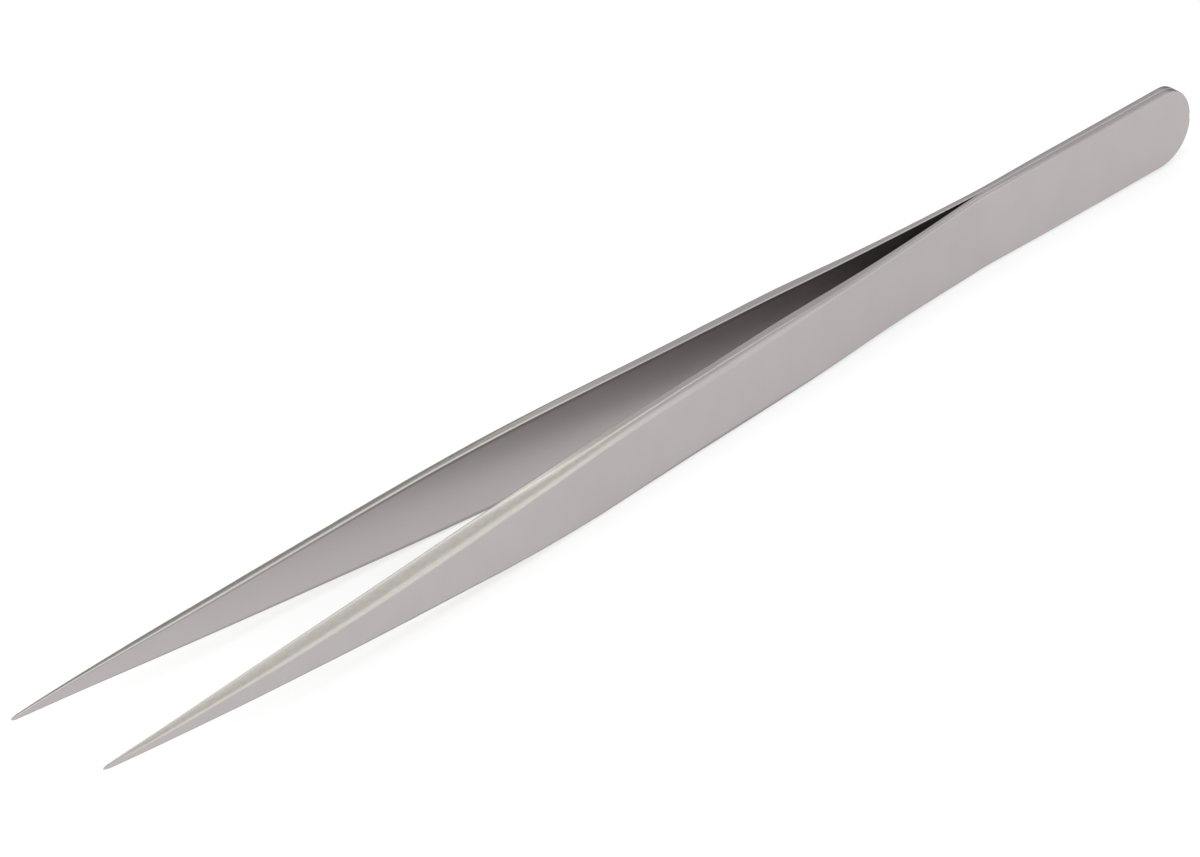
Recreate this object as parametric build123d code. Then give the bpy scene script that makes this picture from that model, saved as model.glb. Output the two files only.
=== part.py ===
from build123d import *
import os

# Fine-pointed non-magnetic tweezers. Two mirror-image spring leaves of stainless
# steel are welded face to face over the flat tail and bow apart in front of it.
# The tips point to -X, the welded tail to +X, +Z runs across the width of the
# leaves, and the tweezers stand on the long lower edges of the leaves as they do
# on a bench. Y = 0 is the plane of symmetry. All sizes are in millimetres.
# The hand-ground long edges are not quite the same above and below: heights are
# given from a datum line that runs the whole length, one figure up, one down.

OVERALL_LENGTH = 140.0     # tail end to tip
DATUM_HEIGHT = 3.885       # datum line above the surface the tweezers stand on
TAIL_LEAF_THICKNESS = 0.65 # one leaf, in the welded tail
TAIL_EDGE_RADIUS = 0.25    # rounding of the outer rim of the tail
TAIL_APEX_HEIGHT = 0.15    # outermost point of the round tail end, above the datum
TAIL_TOP_RUN = 2.9         # length of the upper quarter of the round tail end
TAIL_LOW_RUN = 3.8         # length of the lower quarter
TAIL_TOP = 3.80            # upper edge where the round end begins
TAIL_LOW = 3.58            # lower edge where the round end begins
TAIL_MIDDLE_AT = 12.0      # distance from the tail end to the middle of the tail
TAIL_MIDDLE_TOP = 3.76
TAIL_MIDDLE_LOW = 3.65
CROTCH = 25.5              # distance from the tail end to where the leaves part
CROTCH_TOP = 3.77
CROTCH_LOW = 3.72

# Stations along one arm, measured from the tail end:
# (distance, upper edge above the datum, lower edge below the datum,
#  inner face offset from the middle plane, leaf thickness,
#  flat part of the long edge, drop of the ground bevel)
ARM_STATIONS = [
    (25.5, 3.770, 3.720, 0.000, 0.650, 0.400, 0.250),
    (26.0, 3.769, 3.722, 0.004, 0.650, 0.400, 0.250),
    (26.5, 3.766, 3.724, 0.016, 0.650, 0.400, 0.250),
    (27.1, 3.759, 3.726, 0.041, 0.650, 0.400, 0.250),
    (28.0, 3.742, 3.726, 0.093, 0.650, 0.400, 0.250),
    (30.0, 3.690, 3.705, 0.226, 0.650, 0.400, 0.250),
    (33.0, 3.610, 3.650, 0.430, 0.654, 0.405, 0.248),
    (36.5, 3.540, 3.595, 0.665, 0.684, 0.436, 0.245),
    (40.0, 3.497, 3.580, 0.885, 0.752, 0.502, 0.246),
    (43.5, 3.490, 3.600, 1.083, 0.872, 0.612, 0.260),
    (47.0, 3.530, 3.650, 1.265, 1.008, 0.724, 0.303),
    (50.0, 3.578, 3.718, 1.415, 1.100, 0.772, 0.420),
    (53.0, 3.603, 3.790, 1.568, 1.158, 0.756, 0.600),
    (56.5, 3.595, 3.850, 1.760, 1.186, 0.700, 0.730),
    (60.0, 3.565, 3.878, 1.970, 1.192, 0.650, 0.775),
    (64.5, 3.535, 3.880, 2.240, 1.190, 0.625, 0.755),
    (69.0, 3.512, 3.870, 2.515, 1.196, 0.630, 0.700),
    (74.0, 3.478, 3.876, 2.825, 1.232, 0.625, 0.670),
    (80.0, 3.385, 3.868, 3.220, 1.312, 0.540, 0.710),
    (86.0, 3.235, 3.735, 3.575, 1.386, 0.400, 0.850),
    (92.0, 3.010, 3.470, 3.855, 1.418, 0.240, 0.965),
    (98.0, 2.690, 3.120, 4.095, 1.424, 0.150, 1.015),
    (104.0, 2.345, 2.735, 4.315, 1.420, 0.112, 1.030),
    (110.0, 1.995, 2.330, 4.510, 1.386, 0.100, 0.965),
    (116.0, 1.655, 1.905, 4.705, 1.292, 0.100, 0.840),
    (122.0, 1.335, 1.470, 4.922, 1.124, 0.098, 0.678),
    (127.0, 1.070, 1.085, 5.117, 0.908, 0.094, 0.554),
    (131.0, 0.845, 0.775, 5.270, 0.704, 0.088, 0.430),
    (134.5, 0.640, 0.510, 5.370, 0.528, 0.080, 0.308),
    (137.5, 0.450, 0.275, 5.425, 0.376, 0.070, 0.192),
    (139.2, 0.320, 0.125, 5.447, 0.286, 0.060, 0.120),
    (140.0, 0.250, 0.050, 5.455, 0.236, 0.055, 0.080),
]

HALF_LENGTH = OVERALL_LENGTH / 2.0


def section(station):
    """Closed outline of one arm at a station, in a plane across the length."""
    s, above, below, gap, thick, flat, drop = station
    x = HALF_LENGTH - s
    top, bottom = DATUM_HEIGHT + above, DATUM_HEIGHT - below
    plane_up = Plane(origin=(x, gap + flat, top - drop), x_dir=(0, 1, 0), z_dir=(1, 0, 0))
    plane_down = Plane(origin=(x, gap + flat, bottom + drop), x_dir=(0, 1, 0), z_dir=(1, 0, 0))
    a = thick - flat
    p_in_low = Vector(x, gap, bottom)
    p_in_top = Vector(x, gap, top)
    p_edge_top = Vector(x, gap + flat, top)
    p_out_top = Vector(x, gap + thick, top - drop)
    p_out_low = Vector(x, gap + thick, bottom + drop)
    p_edge_low = Vector(x, gap + flat, bottom)
    bevel_top = Edge.make_ellipse(a, drop, plane=plane_up, start_angle=0, end_angle=90)
    bevel_low = Edge.make_ellipse(a, drop, plane=plane_down, start_angle=270, end_angle=360)
    wire = Wire([
        Edge.make_line(p_in_low, p_in_top),
        Edge.make_line(p_in_top, p_edge_top),
        bevel_top,
        Edge.make_line(p_out_top, p_out_low),
        bevel_low,
        Edge.make_line(p_edge_low, p_in_low),
    ])
    return Face(wire)


def quarter_end(run, height, start, end):
    """A quarter of the round tail end, beginning or ending at its apex."""
    plane = Plane(origin=(HALF_LENGTH - run, 0, DATUM_HEIGHT + TAIL_APEX_HEIGHT),
                  x_dir=(1, 0, 0), z_dir=(0, -1, 0))
    return Edge.make_ellipse(run, height, plane=plane, start_angle=start, end_angle=end)


def tail_blank():
    """Flat welded end of one leaf: a strip with a full-round end and a rounded
    outer rim, from the tail end to the crotch."""
    z0 = DATUM_HEIGHT
    top_x = HALF_LENGTH - TAIL_TOP_RUN
    low_x = HALF_LENGTH - TAIL_LOW_RUN
    crotch_x = HALF_LENGTH - CROTCH
    middle_x = HALF_LENGTH - TAIL_MIDDLE_AT
    end_top = quarter_end(TAIL_TOP_RUN, TAIL_TOP - TAIL_APEX_HEIGHT, 0, 90)
    end_low = quarter_end(TAIL_LOW_RUN, TAIL_LOW + TAIL_APEX_HEIGHT, -90, 0)
    upper = Edge.make_spline(
        [(top_x, 0, z0 + TAIL_TOP), (middle_x, 0, z0 + TAIL_MIDDLE_TOP),
         (crotch_x, 0, z0 + CROTCH_TOP)],
        tangents=[(-1, 0, 0), (-1, 0, 0), (-1, 0, 0)])
    lower = Edge.make_spline(
        [(crotch_x, 0, z0 - CROTCH_LOW), (middle_x, 0, z0 - TAIL_MIDDLE_LOW),
         (low_x, 0, z0 - TAIL_LOW)],
        tangents=[(1, 0, 0), (1, 0, 0), (1, 0, 0)])
    close = Edge.make_line((crotch_x, 0, z0 + CROTCH_TOP), (crotch_x, 0, z0 - CROTCH_LOW))
    outline = Face(Wire([end_low, end_top, upper, close, lower]))
    blank = Solid.extrude(outline, Vector(0, TAIL_LEAF_THICKNESS, 0))
    rim = [e for e in blank.edges()
           if e.center().Y > TAIL_LEAF_THICKNESS - 1e-4
           and abs(e.bounding_box().size.Y) < 1e-4
           and not (abs(e.bounding_box().max.X - crotch_x) < 1e-4
                    and abs(e.bounding_box().min.X - crotch_x) < 1e-4)]
    return blank.fillet(TAIL_EDGE_RADIUS, rim)


def leaf():
    """One leaf on the +Y side: flat tail and bowed, ground and pointed arm."""
    arm = Solid.make_loft([section(st).outer_wire() for st in ARM_STATIONS], False)
    whole = tail_blank().fuse(arm)
    return whole


rear_leaf = leaf()
front_leaf = rear_leaf.mirror(Plane.XZ)

os.makedirs("parts", exist_ok=True)
for name, solid in (("front_leaf", front_leaf), ("rear_leaf", rear_leaf)):
    export_step(solid, f"parts/{name}.step")
    print(name, "volume mm3", round(solid.volume, 2), "solids", len(solid.solids()),
          "valid", solid.is_valid, "faces", len(solid.faces()))
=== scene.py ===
import bmesh
import bpy
import math
import numpy as np
from mathutils import Matrix, Vector, noise


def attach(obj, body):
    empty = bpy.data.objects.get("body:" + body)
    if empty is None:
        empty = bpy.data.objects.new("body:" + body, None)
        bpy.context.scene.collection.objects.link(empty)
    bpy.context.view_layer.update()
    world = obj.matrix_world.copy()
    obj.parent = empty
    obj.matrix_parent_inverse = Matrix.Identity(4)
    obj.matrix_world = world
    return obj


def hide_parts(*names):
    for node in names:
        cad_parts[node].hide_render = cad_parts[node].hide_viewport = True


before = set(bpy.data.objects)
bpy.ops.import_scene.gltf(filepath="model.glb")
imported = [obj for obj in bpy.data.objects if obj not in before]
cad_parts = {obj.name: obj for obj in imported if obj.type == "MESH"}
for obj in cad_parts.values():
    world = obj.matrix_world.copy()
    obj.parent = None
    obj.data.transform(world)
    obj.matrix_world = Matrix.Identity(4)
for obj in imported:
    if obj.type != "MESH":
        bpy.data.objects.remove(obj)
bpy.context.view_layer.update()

MM = 0.001
HALF_LENGTH = 70.0
Z0 = 3.885

# ----------------------------------------------------------------------------
# The same stations as the construction: distance from the tail end, upper edge
# above and lower edge below the datum line, inner face offset, thickness, flat
# part of the long edge, drop of the bevel.
# ----------------------------------------------------------------------------
TAIL_END_RUN = 3.8
TAIL_APEX = 0.15
CROTCH = 25.5
TAIL_THICK = 0.65
STATIONS = np.array([
    (25.5, 3.770, 3.720, 0.000, 0.650, 0.400, 0.250),
    (26.0, 3.769, 3.722, 0.004, 0.650, 0.400, 0.250),
    (26.5, 3.766, 3.724, 0.016, 0.650, 0.400, 0.250),
    (27.1, 3.759, 3.726, 0.041, 0.650, 0.400, 0.250),
    (28.0, 3.742, 3.726, 0.093, 0.650, 0.400, 0.250),
    (30.0, 3.690, 3.705, 0.226, 0.650, 0.400, 0.250),
    (33.0, 3.610, 3.650, 0.430, 0.654, 0.405, 0.248),
    (36.5, 3.540, 3.595, 0.665, 0.684, 0.436, 0.245),
    (40.0, 3.497, 3.580, 0.885, 0.752, 0.502, 0.246),
    (43.5, 3.490, 3.600, 1.083, 0.872, 0.612, 0.260),
    (47.0, 3.530, 3.650, 1.265, 1.008, 0.724, 0.303),
    (50.0, 3.578, 3.718, 1.415, 1.100, 0.772, 0.420),
    (53.0, 3.603, 3.790, 1.568, 1.158, 0.756, 0.600),
    (56.5, 3.595, 3.850, 1.760, 1.186, 0.700, 0.730),
    (60.0, 3.565, 3.878, 1.970, 1.192, 0.650, 0.775),
    (64.5, 3.535, 3.880, 2.240, 1.190, 0.625, 0.755),
    (69.0, 3.512, 3.870, 2.515, 1.196, 0.630, 0.700),
    (74.0, 3.478, 3.876, 2.825, 1.232, 0.625, 0.670),
    (80.0, 3.385, 3.868, 3.220, 1.312, 0.540, 0.710),
    (86.0, 3.235, 3.735, 3.575, 1.386, 0.400, 0.850),
    (92.0, 3.010, 3.470, 3.855, 1.418, 0.240, 0.965),
    (98.0, 2.690, 3.120, 4.095, 1.424, 0.150, 1.015),
    (104.0, 2.345, 2.735, 4.315, 1.420, 0.112, 1.030),
    (110.0, 1.995, 2.330, 4.510, 1.386, 0.100, 0.965),
    (116.0, 1.655, 1.905, 4.705, 1.292, 0.100, 0.840),
    (122.0, 1.335, 1.470, 4.922, 1.124, 0.098, 0.678),
    (127.0, 1.070, 1.085, 5.117, 0.908, 0.094, 0.554),
    (131.0, 0.845, 0.775, 5.270, 0.704, 0.088, 0.430),
    (134.5, 0.640, 0.510, 5.370, 0.528, 0.080, 0.308),
    (137.5, 0.450, 0.275, 5.425, 0.376, 0.070, 0.192),
    (139.2, 0.320, 0.125, 5.447, 0.286, 0.060, 0.120),
    (140.0, 0.250, 0.050, 5.455, 0.236, 0.055, 0.080),
])


def spline(xs, ys, first, last):
    """Second derivatives of a cubic spline clamped to the two end slopes."""
    n = len(xs)
    h = np.diff(xs)
    a = np.zeros((n, n))
    r = np.zeros(n)
    a[0, 0], a[0, 1] = 2 * h[0], h[0]
    r[0] = 6 * ((ys[1] - ys[0]) / h[0] - first)
    a[-1, -1], a[-1, -2] = 2 * h[-1], h[-1]
    r[-1] = 6 * (last - (ys[-1] - ys[-2]) / h[-1])
    for i in range(1, n - 1):
        a[i, i - 1], a[i, i], a[i, i + 1] = h[i - 1], 2 * (h[i - 1] + h[i]), h[i]
        r[i] = 6 * ((ys[i + 1] - ys[i]) / h[i] - (ys[i] - ys[i - 1]) / h[i - 1])
    return np.linalg.solve(a, r)


def on_spline(xs, ys, m, x):
    i = np.clip(np.searchsorted(xs, x) - 1, 0, len(xs) - 2)
    h = xs[i + 1] - xs[i]
    a = (xs[i + 1] - x) / h
    b = (x - xs[i]) / h
    return a * ys[i] + b * ys[i + 1] + ((a**3 - a) * m[i] + (b**3 - b) * m[i + 1]) * h * h / 6


def column(k, x, first):
    xs, ys = STATIONS[:, 0], STATIONS[:, k]
    last = (ys[-1] - ys[-2]) / (xs[-1] - xs[-2])
    return on_spline(xs, ys, spline(xs, ys, first, last), x)


def hermite(x, x0, y0, m0, x1, y1, m1):
    t = (x - x0) / (x1 - x0)
    h = x1 - x0
    return ((2 * t**3 - 3 * t**2 + 1) * y0 + (t**3 - 2 * t**2 + t) * h * m0
            + (-2 * t**3 + 3 * t**2) * y1 + (t**3 - t**2) * h * m1)


def smooth(x, a, b):
    t = np.clip((np.asarray(x, float) - a) / (b - a), 0.0, 1.0)
    return t * t * (3 - 2 * t)


def tail_edge(s, run, end, middle, crotch, apex):
    """Height of one long edge of the tail from the datum, and its slope, at s."""
    if s < run:
        u = 1 - s / run
        root = math.sqrt(max(1 - u * u, 1e-9))
        return apex + (end - apex) * root, (end - apex) / run * u / root
    if s < 12.0:
        return float(hermite(s, run, end, 0.0, 12.0, middle, 0.0)), 0.0
    return float(hermite(s, 12.0, middle, 0.0, CROTCH, crotch, 0.0)), 0.0


# ----------------------------------------------------------------------------
# Leaf mesh: rings of points around the section, closed over both ends
# ----------------------------------------------------------------------------
BEVEL_POINTS = 22


def wobble(s, seed):
    """Slow unevenness of hand grinding, about one part in one."""
    v = np.zeros_like(s)
    for i, x in enumerate(s):
        v[i] = (noise.noise(Vector((x * 0.23 + seed, seed * 1.7, 0.3)))
                + 0.55 * noise.noise(Vector((x * 0.61 + seed * 2.1, 4.2, 0.7)))
                + 0.3 * noise.noise(Vector((x * 1.45, seed, 2.7))))
    return v


T = np.linspace(0.0, 1.0, 161)


def bevel_curve(start, power, knee):
    """Unit bevel whose normal turns from the start angle (from straight up) to 90
    degrees, as running y and z over the arc, for the samples of T. knee is the
    share of the turn taken quickly at the first corner."""
    phi = start + (math.pi / 2 - start) * (
        knee * (1 - np.exp(-T / 0.05)) + (1 - knee) * T**power)
    c, s = np.cos(phi), np.sin(phi)
    dt = T[1] - T[0]
    y = np.concatenate([[0], np.cumsum((c[1:] + c[:-1]) / 2) * dt])
    z = np.concatenate([[0], np.cumsum((s[1:] + s[:-1]) / 2) * dt])
    return y, z


def bevel_points(start, across, drop, knee):
    """Bevel that is across wide and drop high, turning as evenly as those two
    allow. Returns y outwards and z downwards from its start."""
    lo, hi = 0.45, 3.2
    want = drop / across
    for _ in range(26):
        mid = (lo + hi) / 2
        y, z = bevel_curve(start, mid, knee)
        if z[-1] / y[-1] > want:
            lo = mid
        else:
            hi = mid
    y, z = bevel_curve(start, (lo + hi) / 2, knee)
    t = np.linspace(0, 1, BEVEL_POINTS)
    return (np.interp(t, T, y) * across / y[-1], np.interp(t, T, z) * drop / z[-1])


def half_ring(half, inner, thick, flat, drop, lean, crown, knee, inner_r):
    """Upper half of a section from the middle of the inner face, over the long
    edge, to the middle of the outer face: (y, z above mid height), with the share
    of bevel and of painted corner highlight at each point. lean tips the long edge outwards."""
    pts, bev, corner_highlight, tag, painted_shade_line = [], [], [], [], []
    r = min(inner_r, 0.25 * thick, 0.3 * half)
    flat = max(flat, r * 1.15)
    for f in (0.0, 0.2, 0.4, 0.6, 0.78, 0.9, 0.97):
        pts.append((inner, (half - r) * f))
        bev.append(0.0)
        corner_highlight.append(0.0)
        tag.append(0)
        # the top of the inner face, just under the corner, carries a painted shade line
        painted_shade_line.append(1.0 if f > 0.95 else 0.0)
    # the rounded corner lies wholly under the painted corner highlight
    for q in np.linspace(0, math.pi / 2, 8):
        pts.append((inner + r - r * math.cos(q), half - r + r * math.sin(q)))
        bev.append(0.6 * q)
        corner_highlight.append(1.0)
        tag.append(1)
    fall = math.tan(lean) * (flat - r)
    for f in (0.2, 0.4, 0.6, 0.8, 0.94):
        pts.append((inner + r + (flat - r) * f,
                    half - fall * f - crown * (2 * f - 1) ** 2 * (f > 0.5)))
        bev.append(1.0)
        corner_highlight.append(0.0)
        tag.append(2)
    # the painted corner highlight runs on over the start of the bevel and fades out
    y, z = bevel_points(lean, thick - flat, drop - fall - crown, knee)
    for i, (yy, zz) in enumerate(zip(y, z)):
        pts.append((inner + flat + yy, half - fall - crown - zz))
        k = i / (len(y) - 1)
        bev.append(1.0 - float(smooth(k, 0.86, 1.0)))
        corner_highlight.append(float(1 - smooth(k, 0.0, 0.16)))
        tag.append(3)
    top = half - drop
    for f in (0.97, 0.9, 0.78, 0.6, 0.4, 0.2, 0.0):
        pts.append((inner + thick, top * f))
        bev.append(0.0)
        corner_highlight.append(0.0)
        tag.append(4)
    # the first corner point also gets the painted shade line
    painted_shade_line += [1.0] + [0.0] * (len(pts) - len(painted_shade_line) - 1)
    return np.array(pts), np.array(bev), np.array(corner_highlight), np.array(tag), np.array(painted_shade_line)


def stations():
    tail = np.concatenate([
        TAIL_END_RUN * (1 - np.cos(np.linspace(0, math.pi / 2, 40))),
        np.arange(4.0, 25.4, 0.5)])
    arm = np.concatenate([
        np.arange(25.5, 30.0, 0.25), np.arange(30.0, 44.0, 0.4), np.arange(44.0, 136.0, 0.22),
        np.arange(136.0, 139.3, 0.15),
        [139.3, 139.42, 139.54, 139.65, 139.74, 139.82, 139.88, 139.93, 139.97, 140.0]])
    return np.unique(np.round(np.concatenate([tail, arm]), 5))


def build_leaf(name, side, seed):
    """side +1 for the leaf at +Y, -1 for its mirror image at -Y."""
    s_all = stations()
    grind = wobble(s_all, seed)
    grind2 = wobble(s_all, seed + 7.3)
    verts, rows, bevs, corner_highlights, fronts, painted_shade_lines = [], [], [], [], [], []
    for i, s in enumerate(s_all):
        rim_r = 0.25
        lean = crown = 0.0
        if s < CROTCH - 1e-6:
            top, top_slope = tail_edge(s, 2.9, 3.80, 3.76, 3.77, TAIL_APEX)
            low, low_slope = tail_edge(s, 3.8, 3.58, 3.65, 3.72, -TAIL_APEX)
            half, mid = (top + low) / 2, (top - low) / 2
            if half < 0.3:
                continue
            rim_r = 0.10 + 0.15 * float(smooth(s, 17, CROTCH))
            inner, thick, flat, drop = 0.0, TAIL_THICK, TAIL_THICK - rim_r, rim_r
            crown = 0.012
            drop = min(drop + crown, 0.8 * half)
        else:
            top, low, inner, thick, flat, drop = (
                float(column(k, s, 0.0)) for k in range(1, 7))
            half, mid = (top + low) / 2, (top - low) / 2
            crown = 0.012 * float(1 - smooth(s, CROTCH, 34))
            drop = drop + crown
            lean = math.radians(10.0) * float(smooth(s, 74, 87))
            uneven = float(smooth(s, 46, 54) * (1 - smooth(s, 122, 135)))
            drop = max(drop * (1 + 0.06 * uneven * grind[i]), 0.04)
            flat = max(flat * (1 + 0.05 * uneven * grind2[i]), 0.02)
            if s > 139.3:
                u = (s - 139.3) / 0.7
                k = math.sqrt(max(1 - (u * 0.94) ** 2, 0.0))
                centre = inner + thick / 2
                half, drop = half * k, drop * k
                inner, thick, flat = centre - k * thick / 2, thick * k, flat * k
        knee = 0.06 * float(smooth(s, 80, 96))
        inner_r = 0.075 + 0.06 * float(smooth(s, 60, 95) * (1 - smooth(s, 112, 136)))
        pts, bev, corner_highlight, tag, painted_shade_line = half_ring(
            half, inner, thick, flat, drop, lean, crown, knee, inner_r)
        full = np.vstack([pts, (pts * (1, -1))[::-1][1:-1]])
        bev = np.concatenate([bev, bev[::-1][1:-1]])
        corner_highlight = np.concatenate([corner_highlight, corner_highlight[::-1][1:-1]])
        tag = np.concatenate([tag, tag[::-1][1:-1]])
        painted_shade_line = np.concatenate([painted_shade_line, painted_shade_line[::-1][1:-1]])
        xs = np.full(len(full), HALF_LENGTH - s)
        if s < TAIL_END_RUN - 1e-6:
            # the rounded rim runs round the end, square to the outline there
            inset_all = np.clip(half - np.abs(full[:, 1]), 0.0, None)
            for j in range(len(full)):
                sgn = 1.0 if full[j, 1] >= 0 else -1.0
                slope = top_slope if sgn > 0 else low_slope
                nx, nz = slope / math.hypot(slope, 1.0), 1.0 / math.hypot(slope, 1.0)
                if tag[j] in (1, 2, 3):
                    inset = inset_all[j]
                    full[j, 1] = sgn * (half - inset * nz)
                    xs[j] -= inset * nx
                elif tag[j] == 4:
                    share = abs(full[j, 1]) / max(half - drop, 1e-6)
                    full[j, 1] = sgn * (half - drop * nz) * share
                    xs[j] -= drop * nx
                elif tag[j] == 0:
                    full[j, 1] = sgn * half * abs(full[j, 1]) / half
        row = []
        zone = float(smooth(s, 62, 86))
        for x, (y, z), bv, corner_lit, shade_line in zip(xs, full, bev, corner_highlight, painted_shade_line):
            row.append(len(verts))
            verts.append((x * MM, side * y * MM, (z + mid + Z0) * MM))
            bevs.append(bv)
            corner_highlights.append(corner_lit)
            painted_shade_lines.append(shade_line)
            fronts.append(zone)
        rows.append(row)
    faces = []
    n = len(rows[0])
    for a, b in zip(rows[:-1], rows[1:]):
        for j in range(n):
            k = (j + 1) % n
            quad = (a[j], a[k], b[k], b[j])
            faces.append(quad if side > 0 else quad[::-1])
    for row, flip in ((rows[0], True), (rows[-1], False)):
        c = np.mean([verts[i] for i in row], axis=0)
        if flip:
            c[0] = HALF_LENGTH * MM
        ci = len(verts)
        verts.append(tuple(c))
        bevs.append(1.0)
        corner_highlights.append(0.0)
        painted_shade_lines.append(0.0)
        fronts.append(0.0 if flip else 1.0)
        for j in range(n):
            k = (j + 1) % n
            tri = (row[j], row[k], ci)
            if flip:
                tri = tri[::-1]
            faces.append(tri[::-1] if side > 0 else tri)
    me = bpy.data.meshes.new(name)
    me.from_pydata(verts, [], faces)
    me.update()
    # per point: bevel share, painted corner highlight, front zone and painted shade line
    for key, values in (("bevel", bevs), ("corner_highlight", corner_highlights), ("front", fronts),
                        ("painted_shade_line", painted_shade_lines)):
        at = me.attributes.new(key, "FLOAT", "POINT")
        at.data.foreach_set("value", np.array(values, dtype=np.float32))
    bm = bmesh.new()
    bm.from_mesh(me)
    bmesh.ops.recalc_face_normals(bm, faces=bm.faces[:])
    bm.to_mesh(me)
    bm.free()
    me.shade_smooth()
    ob = bpy.data.objects.new(name, me)
    bpy.context.scene.collection.objects.link(ob)
    return ob


front = build_leaf("front_leaf_ground", -1, 3.1)
rear = build_leaf("rear_leaf_ground", 1, 11.4)
for ob, node in ((front, "front_leaf"), (rear, "rear_leaf")):
    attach(ob, "root")
    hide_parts(node)

# ----------------------------------------------------------------------------
# Materials
# ----------------------------------------------------------------------------


class Graph:
    """Short names for building a node tree."""

    def __init__(self, tree):
        self.tree = tree

    def node(self, kind, **values):
        n = self.tree.nodes.new(kind)
        for k, v in values.items():
            setattr(n, k, v)
        return n

    def link(self, a, b):
        self.tree.links.new(a, b)

    def attribute(self, name):
        return self.node("ShaderNodeAttribute", attribute_name=name).outputs["Fac"]

    def put(self, socket, value):
        if isinstance(value, (int, float)):
            socket.default_value = value
        else:
            self.link(value, socket)

    def math(self, op, a, b=0.0, clamp=False):
        n = self.node("ShaderNodeMath", operation=op, use_clamp=clamp)
        self.put(n.inputs[0], a)
        self.put(n.inputs[1], b)
        return n.outputs[0]

    def span(self, value, lo, hi, to_lo=0.0, to_hi=1.0):
        n = self.node("ShaderNodeMapRange", interpolation_type="SMOOTHSTEP")
        self.link(value, n.inputs["Value"])
        for k, v in (("From Min", lo), ("From Max", hi), ("To Min", to_lo), ("To Max", to_hi)):
            n.inputs[k].default_value = v
        return n.outputs["Result"]

    def noise(self, vector, scale, detail=2.0, roughness=0.5, distortion=0.0):
        n = self.node("ShaderNodeTexNoise")
        n.inputs["Scale"].default_value = scale
        n.inputs["Detail"].default_value = detail
        n.inputs["Roughness"].default_value = roughness
        n.inputs["Distortion"].default_value = distortion
        self.link(vector, n.inputs["Vector"])
        return n.outputs["Fac"]

    def stretch(self, vector, sx, sy, sz):
        n = self.node("ShaderNodeMapping")
        n.inputs["Scale"].default_value = (sx, sy, sz)
        self.link(vector, n.inputs["Vector"])
        return n.outputs["Vector"]

    def colour(self, factor, a, b):
        n = self.node("ShaderNodeMix", data_type="RGBA")
        self.put(n.inputs[0], factor)
        for i, c in ((6, a), (7, b)):
            if isinstance(c, tuple):
                n.inputs[i].default_value = (*c, 1.0)
            else:
                self.link(c, n.inputs[i])
        return n.outputs[2]


def satin_steel():
    m = bpy.data.materials.new("satin_steel_looks")
    m.use_nodes = True
    g = Graph(m.node_tree)
    b = m.node_tree.nodes["Principled BSDF"]
    b.inputs["Metallic"].default_value = 1.0
    b.inputs["Specular Tint"].default_value = (0.32, 0.32, 0.32, 1)
    where = g.node("ShaderNodeTexCoord").outputs["Object"]
    bevel, corner_highlight, front = g.attribute("bevel"), g.attribute("corner_highlight"), g.attribute("front")
    ground = g.math("MULTIPLY", bevel, front)
    painted_shade_line = g.attribute("painted_shade_line")
    # cloudiness of the tumbled faces, and lengthwise lines left by grinding the edges
    cloud = g.noise(where, 320.0, 3.0)
    lines = g.noise(g.stretch(where, 0.07, 1.0, 1.0), 8500.0, 3.0, 0.6)
    mottle = g.noise(g.stretch(where, 0.35, 1.0, 1.0), 3600.0, 3.0, 0.6)
    grain = g.noise(where, 11000.0, 2.0)
    flat = g.colour(g.span(cloud, 0.3, 0.7), (0.488, 0.453, 0.456), (0.504, 0.468, 0.471))
    edge = g.colour(g.span(mottle, 0.3, 0.7), (0.585, 0.552, 0.505), (0.640, 0.608, 0.556))
    tone = g.colour(ground, flat, edge)
    # painted highlight: the rounded corners and the start of the bevel are mixed towards near
    # white, more at the front, standing in for the bright lines the light draws there
    painted_corner_highlight = g.math("MULTIPLY", corner_highlight, g.math("ADD", g.math("MULTIPLY", front, 0.40), 0.25))
    b_colour = g.colour(painted_corner_highlight, tone, (0.82, 0.81, 0.78))
    # painted shade: a dark line along the top of the inner face under the bright corner,
    # darker at the front, stands in for a shadow there
    b_colour = g.colour(g.math("MULTIPLY", painted_shade_line, g.math("ADD", g.math("MULTIPLY", front, 0.2), 0.55)), b_colour, (0.27, 0.255, 0.245))
    g.link(b_colour, b.inputs["Base Color"])
    rough = g.math("ADD", g.span(cloud, 0.25, 0.75, 0.335, 0.375),
                   g.math("MULTIPLY", g.math("SUBTRACT", grain, 0.5), 0.05))
    rough_edge = g.span(mottle, 0.25, 0.75, 0.27, 0.35)
    mixed = g.node("ShaderNodeMix")
    g.link(bevel, mixed.inputs[0])
    g.link(rough, mixed.inputs[2])
    g.link(rough_edge, mixed.inputs[3])
    g.link(mixed.outputs[0], b.inputs["Roughness"])
    height = g.math("ADD", g.math("MULTIPLY", grain, 0.35),
                    g.math("MULTIPLY", g.math("MULTIPLY", lines, bevel), 1.0))
    height = g.math("ADD", height, g.math("MULTIPLY", g.math("MULTIPLY", mottle, ground), 1.6))
    bump = g.node("ShaderNodeBump")
    bump.inputs["Strength"].default_value = 0.5
    bump.inputs["Distance"].default_value = 0.0000035
    g.link(height, bump.inputs["Height"])
    g.link(bump.outputs["Normal"], b.inputs["Normal"])
    return m


steel = satin_steel()
for ob in (front, rear):
    ob.data.materials.append(steel)

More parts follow.
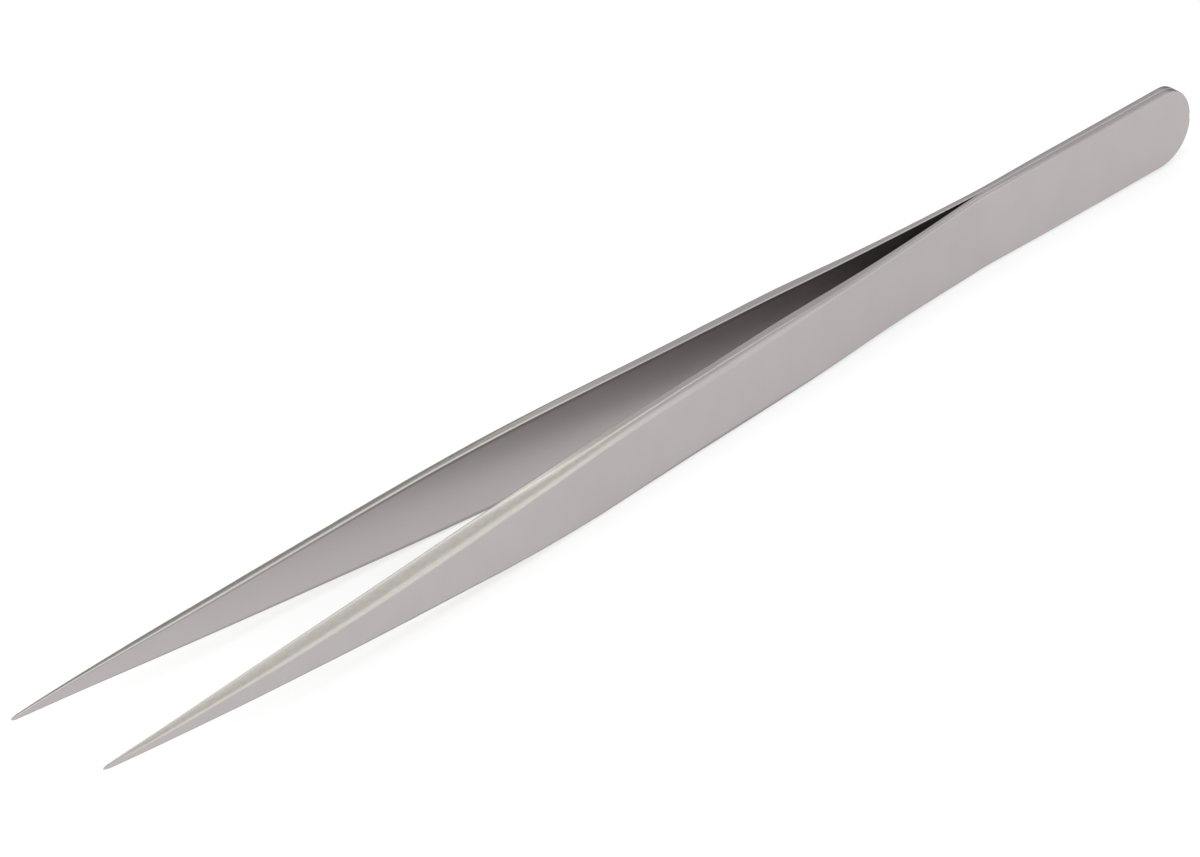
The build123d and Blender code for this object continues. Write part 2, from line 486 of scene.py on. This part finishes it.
# ----------------------------------------------------------------------------
# Floor, light and camera
# ----------------------------------------------------------------------------
bpy.ops.mesh.primitive_plane_add(size=6.0, location=(0, 0, 0))
floor = bpy.context.object
floor.name = "floor"
fm = bpy.data.materials.new("floor_paper")
fm.use_nodes = True
fb = fm.node_tree.nodes["Principled BSDF"]
fb.inputs["Base Color"].default_value = (0.48, 0.48, 0.48, 1)
fb.inputs["Emission Color"].default_value = (1.0, 1.0, 1.0, 1)
fb.inputs["Emission Strength"].default_value = 0.60
fb.inputs["Roughness"].default_value = 0.85
floor.data.materials.append(fm)

world = bpy.data.worlds.new("studio")
bpy.context.scene.world = world
world.use_nodes = True
bg = world.node_tree.nodes["Background"]
wg = Graph(world.node_tree)
split = wg.node("ShaderNodeSeparateXYZ")
wg.link(wg.node("ShaderNodeTexCoord").outputs["Generated"], split.inputs[0])
behind = wg.span(split.outputs["Y"], -0.1, 0.55)
low = wg.span(split.outputs["Z"], 0.0, 0.62, 1.0, 0.0)
dim = wg.math("MULTIPLY", wg.math("MULTIPLY", behind, low), 0.55)
wg.link(wg.math("MULTIPLY", wg.math("SUBTRACT", 1.0, dim), 0.74), bg.inputs["Strength"])
bg.inputs["Color"].default_value = (1.0, 1.0, 1.0, 1)


def softbox(name, at, size, watts, size_y=None, aim=(0, 0, 0.004), colour=(1, 1, 1)):
    data = bpy.data.lights.new(name, "AREA")
    data.energy = watts
    data.color = colour
    data.shape = "RECTANGLE"
    data.size = size
    data.size_y = size_y or size
    ob = bpy.data.objects.new(name, data)
    bpy.context.scene.collection.objects.link(ob)
    ob.location = at
    d = Vector(aim) - Vector(at)
    ob.rotation_euler = d.to_track_quat("-Z", "Y").to_euler()
    return ob


def around(az, el, dist):
    """A place seen from the object: azimuth from -Y towards +X, elevation."""
    a, e = math.radians(az), math.radians(el)
    return (dist * math.sin(a) * math.cos(e), -dist * math.cos(a) * math.cos(e),
            dist * math.sin(e))


# seen in the steel: an overhead panel right of the object gives the first bright
# streak of the bevel, a low strip at the front right the second, and the big panel
# on the left lights the floor without showing in the leaves
softbox("overhead_right", (0.72, 0.38, 0.89), 0.26, 0.22, 0.22)
softbox("low_front_right", (0.72, -0.93, 0.30), 0.9, 0.92, 0.95)
softbox("left_fill", around(-70, 58, 1.6), 1.3, 8.0)

# camera: nearly parallel view from the front left and above
AZ, EL, ROLL = math.radians(-45.2774), math.radians(32.483), math.radians(-0.7376)
D, LENS, OX, OY = 2000.0, 692.3, -2.8531, -0.4449
back = Vector((math.sin(AZ) * math.cos(EL), -math.cos(AZ) * math.cos(EL), math.sin(EL)))
fw = -back
right = fw.cross(Vector((0, 0, 1))).normalized()
up = right.cross(fw)
right2 = math.cos(ROLL) * right + math.sin(ROLL) * up
up2 = -math.sin(ROLL) * right + math.cos(ROLL) * up
place = D * back + OX * right2 + OY * up2 + Vector((0, 0, Z0))
cam_data = bpy.data.cameras.new("camera")
cam_data.lens = LENS
cam_data.sensor_width = 36.0
cam_data.sensor_fit = "HORIZONTAL"
cam_data.clip_start = 0.05
cam_data.clip_end = 20.0
cam = bpy.data.objects.new("camera", cam_data)
bpy.context.scene.collection.objects.link(cam)
cam.matrix_world = Matrix((
    (right2.x, up2.x, back.x, place.x * MM),
    (right2.y, up2.y, back.y, place.y * MM),
    (right2.z, up2.z, back.z, place.z * MM),
    (0, 0, 0, 1)))
bpy.context.scene.camera = cam
bpy.context.scene.view_settings.view_transform = "Standard"
